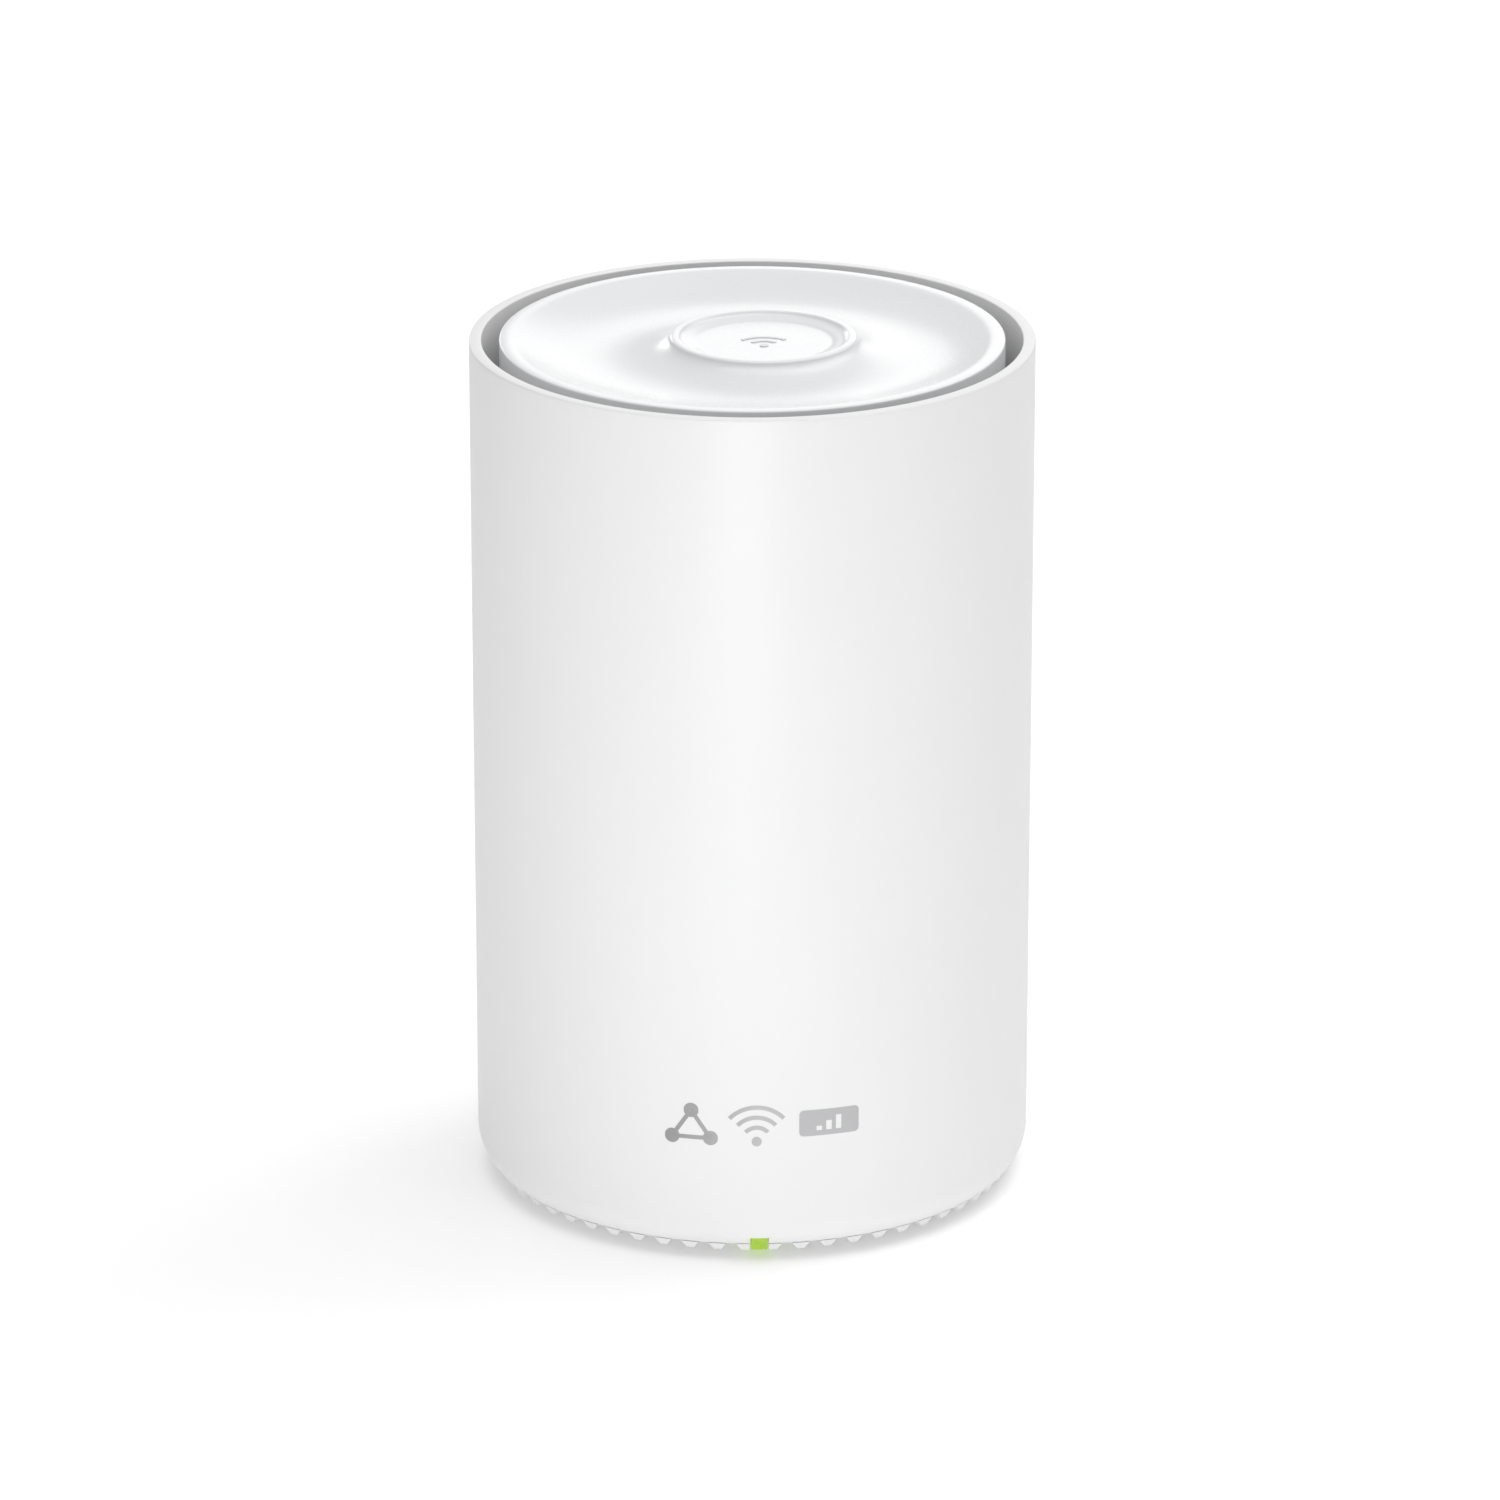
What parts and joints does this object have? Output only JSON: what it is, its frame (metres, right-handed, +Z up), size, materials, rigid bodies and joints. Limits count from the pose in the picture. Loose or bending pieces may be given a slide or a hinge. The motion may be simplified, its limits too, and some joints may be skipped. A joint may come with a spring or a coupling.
{
  "type": "mesh wifi node",
  "caption": "White upright cylindrical wireless router with a dished top cover, a vented foot, a green status light and a rear socket pocket.",
  "frame": {"origin": "middle of the surface that the feet stand on", "axes": "+Z up along the cylinder; -Y is the front, with the status light; +Y the rear, with the sockets; +X to the right seen from the front"},
  "size_m": [0.11, 0.11, 0.1722],
  "materials": {
    "white_plastic": "satin",
    "satin_white_plastic": "satin, slightly cool",
    "green_lens": "translucent, lit from behind",
    "label": "printed film, blank",
    "grey_rubber": "matte",
    "grey_plastic": "matte",
    "black_plastic": "matte",
    "steel": "brushed",
    "brass": "plated",
    "cap_rubber": "soft matte",
    "circuit_board": "solder mask",
    "card_plastic": "smooth",
    "aluminium": "extruded",
    "thermal_pad": "soft matte",
    "cable_jacket": "smooth"
  },
  "bodies": {
    "housing": {"outer_shell": "white_plastic", "top_cover": "satin_white_plastic", "top_vent_ring": "white_plastic", "base_tray": "white_plastic", "port_panel": "white_plastic", "light_guide": "green_lens", "label_plate": "label", "rubber_foot_1": "grey_rubber", "base_screw_1": "steel", "rubber_foot_2": "grey_rubber", "base_screw_2": "steel", "rubber_foot_3": "grey_rubber", "base_screw_3": "steel", "rubber_foot_4": "grey_rubber", "base_screw_4": "steel", "chassis_plate": "grey_plastic", "chassis_rail_left": "grey_plastic", "chassis_rail_right": "grey_plastic", "rj45_shield_1": "steel", "rj45_insert_1": "black_plastic", "rj45_shield_2": "steel", "rj45_insert_2": "black_plastic", "rj45_shield_3": "steel", "rj45_insert_3": "black_plastic", "dc_jack_body": "black_plastic", "dc_jack_pin": "steel", "sma_jack_left": "brass", "sma_nut_left": "brass", "sma_jack_right": "brass", "sma_nut_right": "brass", "sim_board": "circuit_board", "sim_socket": "steel", "reset_switch": "steel", "status_led": "card_plastic", "io_board": "circuit_board", "board_connector": "black_plastic", "main_board": "circuit_board", "soc_shield": "steel", "wifi_shield": "steel", "soc_thermal_pad": "thermal_pad", "wifi_thermal_pad": "thermal_pad", "heat_sink": "aluminium", "lte_module": "steel", "lte_thermal_pad": "thermal_pad", "lte_heat_spreader": "aluminium", "wifi_antenna_left": "circuit_board", "lte_antenna_left": "circuit_board", "wifi_antenna_right": "circuit_board", "lte_antenna_right": "circuit_board", "coax_wifi_left": "cable_jacket", "coax_lte_left": "cable_jacket", "coax_sma_left": "cable_jacket", "coax_wifi_right": "cable_jacket", "coax_lte_right": "cable_jacket", "coax_sma_right": "cable_jacket"},
    "reset_button": {"reset_button": "grey_plastic", "reset_plunger": "black_plastic"},
    "sim_card": {"sim_card": "card_plastic"},
    "sma_cap_left": {"sma_cap_left": "cap_rubber"},
    "sma_cap_right": {"sma_cap_right": "cap_rubber"}
  },
  "joints": [
    {"name": "reset_press", "type": "slide", "parent": "housing", "child": "reset_button", "axis": [0, 0, 1], "range_m": [0, 0.0008], "stiffness_N_per_m": 300},
    {"name": "sim_card_slide", "type": "slide", "parent": "housing", "child": "sim_card", "axis": [0, 1, 0], "range_m": [-0.0008, 0.012]},
    {"name": "sma_cap_left_pull", "type": "slide", "parent": "housing", "child": "sma_cap_left", "axis": [0, 1, 0], "range_m": [0, 0.008]},
    {"name": "sma_cap_right_pull", "type": "slide", "parent": "housing", "child": "sma_cap_right", "axis": [0, 1, 0], "range_m": [0, 0.008]}
  ]
}
